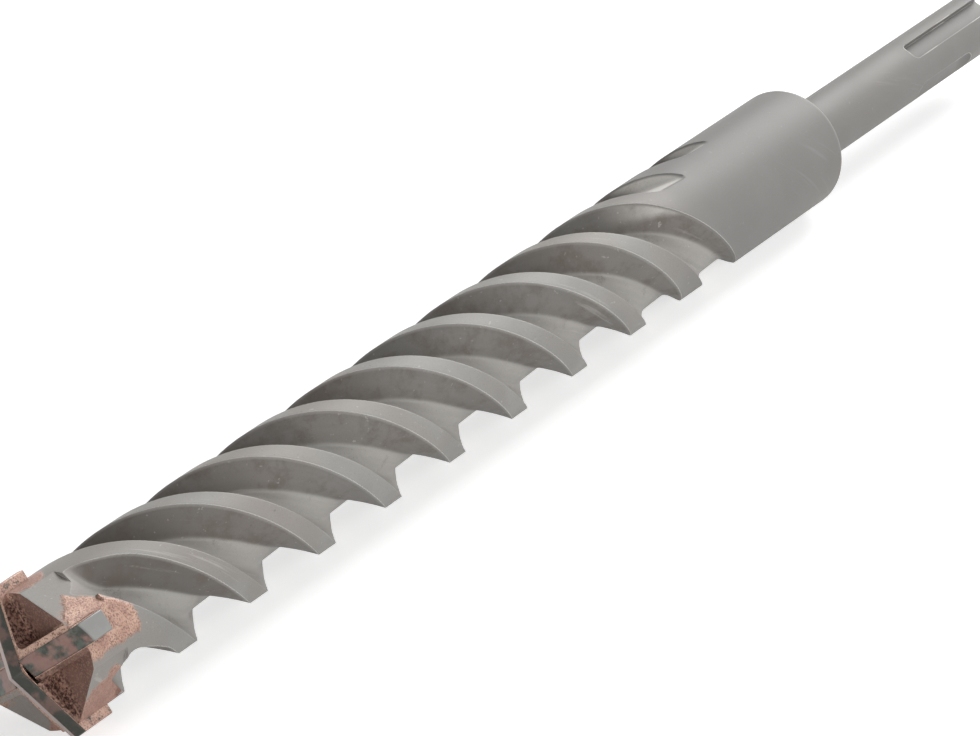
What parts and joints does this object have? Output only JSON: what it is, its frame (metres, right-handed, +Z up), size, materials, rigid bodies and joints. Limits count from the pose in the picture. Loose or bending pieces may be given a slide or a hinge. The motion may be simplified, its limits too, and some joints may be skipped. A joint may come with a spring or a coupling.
{
  "type": "masonry drill bit",
  "caption": "Masonry drill bit with a slotted plug-in shank, a plain collar, helical flutes and a cross-shaped carbide head.",
  "frame": {"origin": "on the axis, at the rear shoulder of the collar where the shank begins", "axes": "+X along the axis from the cutting tip to the shank end, +Z up as it lies on its side"},
  "size_m": [0.26, 0.0194, 0.0194],
  "materials": {
    "steel": "blasted satin grey",
    "carbide": "dark sintered carbide",
    "braze": "dull copper braze"
  },
  "bodies": {
    "root": {"steel_body": "steel", "main_carbide_plate": "carbide", "side_carbide_insert_a": "carbide", "side_carbide_insert_b": "carbide", "main_braze": "braze", "side_braze_a": "braze", "side_braze_b": "braze"}
  },
  "joints": []
}
